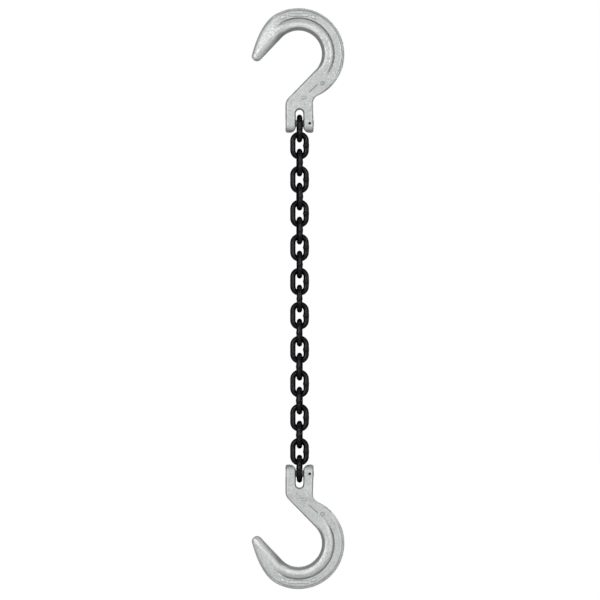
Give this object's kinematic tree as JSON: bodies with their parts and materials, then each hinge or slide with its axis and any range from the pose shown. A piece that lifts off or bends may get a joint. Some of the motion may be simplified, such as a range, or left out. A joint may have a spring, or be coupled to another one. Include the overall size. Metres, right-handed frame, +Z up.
{
  "type": "chain sling",
  "caption": "Short chain with a wide-throat foundry hook pinned to each end by its clevis, for lifting by a rim or lug.",
  "frame": {"origin": "On the load line at the seat in the upper hook's bowl, where that hook rests on what carries it.", "axes": "+Z up along the load line, +X away from the side to which both throats open, +Y from the front of the hooks to the rear."},
  "size_m": [0.1196, 0.0248, 0.7514],
  "materials": {
    "hook": "satin silver-grey coat over a forging",
    "chain": "satin black",
    "load_pin": "turned, bright",
    "retaining_pin": "blackened spring steel"
  },
  "bodies": {
    "upper_hook": {"upper_hook": "hook", "upper_load_pin": "load_pin", "upper_retaining_pin": "retaining_pin"},
    "link_01": {"chain_link_01": "chain"},
    "link_02": {"chain_link_02": "chain"},
    "link_03": {"chain_link_03": "chain"},
    "link_04": {"chain_link_04": "chain"},
    "link_05": {"chain_link_05": "chain"},
    "link_06": {"chain_link_06": "chain"},
    "link_07": {"chain_link_07": "chain"},
    "link_08": {"chain_link_08": "chain"},
    "link_09": {"chain_link_09": "chain"},
    "link_10": {"chain_link_10": "chain"},
    "link_11": {"chain_link_11": "chain"},
    "link_12": {"chain_link_12": "chain"},
    "link_13": {"chain_link_13": "chain"},
    "link_14": {"chain_link_14": "chain"},
    "link_15": {"chain_link_15": "chain"},
    "link_16": {"chain_link_16": "chain"},
    "link_17": {"chain_link_17": "chain"},
    "link_18": {"chain_link_18": "chain"},
    "link_19": {"chain_link_19": "chain"},
    "link_20": {"chain_link_20": "chain"},
    "link_21": {"chain_link_21": "chain"},
    "lower_hook": {"lower_hook": "hook", "lower_load_pin": "load_pin", "lower_retaining_pin": "retaining_pin"}
  },
  "joints": [
    {"name": "upper_pin_swing", "type": "hinge", "parent": "upper_hook", "child": "link_01", "pos_m": [0, 0, -0.1205], "axis": [1, 0, 0], "range_deg": [-90, 90]},
    {"name": "link_02_swing", "type": "hinge", "parent": "link_01", "child": "link_02", "pos_m": [0, 0, -0.14155], "axis": [-0.048, 0.9988, 0], "range_deg": [-45, 45]},
    {"name": "link_03_swing", "type": "hinge", "parent": "link_02", "child": "link_03", "pos_m": [0, 0, -0.16355], "axis": [-0.9977, -0.0678, 0], "range_deg": [-90, 90]},
    {"name": "link_04_swing", "type": "hinge", "parent": "link_03", "child": "link_04", "pos_m": [0, 0, -0.18555], "axis": [0.083, -0.9965, 0], "range_deg": [-90, 90]},
    {"name": "link_05_swing", "type": "hinge", "parent": "link_04", "child": "link_05", "pos_m": [0, 0, -0.20755], "axis": [0.9957, 0.0926, 0], "range_deg": [-90, 90]},
    {"name": "link_06_swing", "type": "hinge", "parent": "link_05", "child": "link_06", "pos_m": [0, 0, -0.22955], "axis": [-0.0958, 0.9954, 0], "range_deg": [-90, 90]},
    {"name": "link_07_swing", "type": "hinge", "parent": "link_06", "child": "link_07", "pos_m": [0, 0, -0.25155], "axis": [-0.9957, -0.0926, 0], "range_deg": [-90, 90]},
    {"name": "link_08_swing", "type": "hinge", "parent": "link_07", "child": "link_08", "pos_m": [0, 0, -0.27355], "axis": [0.083, -0.9965, 0], "range_deg": [-90, 90]},
    {"name": "link_09_swing", "type": "hinge", "parent": "link_08", "child": "link_09", "pos_m": [0, 0, -0.29555], "axis": [0.9977, 0.0678, 0], "range_deg": [-90, 90]},
    {"name": "link_10_swing", "type": "hinge", "parent": "link_09", "child": "link_10", "pos_m": [0, 0, -0.31755], "axis": [-0.048, 0.9988, 0], "range_deg": [-90, 90]},
    {"name": "link_11_swing", "type": "hinge", "parent": "link_10", "child": "link_11", "pos_m": [0, 0, -0.33955], "axis": [-0.9997, -0.0248, 0], "range_deg": [-90, 90]},
    {"name": "link_12_swing", "type": "hinge", "parent": "link_11", "child": "link_12", "pos_m": [0, 0, -0.36155], "axis": [0, -1, 0], "range_deg": [-90, 90]},
    {"name": "link_13_swing", "type": "hinge", "parent": "link_12", "child": "link_13", "pos_m": [0, 0, -0.38355], "axis": [0.9997, -0.0248, 0], "range_deg": [-90, 90]},
    {"name": "link_14_swing", "type": "hinge", "parent": "link_13", "child": "link_14", "pos_m": [0, 0, -0.40555], "axis": [0.048, 0.9988, 0], "range_deg": [-90, 90]},
    {"name": "link_15_swing", "type": "hinge", "parent": "link_14", "child": "link_15", "pos_m": [0, 0, -0.42755], "axis": [-0.9977, 0.0678, 0], "range_deg": [-90, 90]},
    {"name": "link_16_swing", "type": "hinge", "parent": "link_15", "child": "link_16", "pos_m": [0, 0, -0.44955], "axis": [-0.083, -0.9965, 0], "range_deg": [-90, 90]},
    {"name": "link_17_swing", "type": "hinge", "parent": "link_16", "child": "link_17", "pos_m": [0, 0, -0.47155], "axis": [0.9957, -0.0926, 0], "range_deg": [-90, 90]},
    {"name": "link_18_swing", "type": "hinge", "parent": "link_17", "child": "link_18", "pos_m": [0, 0, -0.49355], "axis": [0.0958, 0.9954, 0], "range_deg": [-90, 90]},
    {"name": "link_19_swing", "type": "hinge", "parent": "link_18", "child": "link_19", "pos_m": [0, 0, -0.51555], "axis": [-0.9957, 0.0926, 0], "range_deg": [-90, 90]},
    {"name": "link_20_swing", "type": "hinge", "parent": "link_19", "child": "link_20", "pos_m": [0, 0, -0.53755], "axis": [-0.083, -0.9965, 0], "range_deg": [-90, 90]},
    {"name": "link_21_swing", "type": "hinge", "parent": "link_20", "child": "link_21", "pos_m": [0, 0, -0.55955], "axis": [0.9977, -0.0678, 0], "range_deg": [-70, 70]},
    {"name": "lower_pin_swing", "type": "hinge", "parent": "link_21", "child": "lower_hook", "pos_m": [0, 0, -0.5733], "axis": [-1, 0, 0], "range_deg": [-90, 90]}
  ]
}
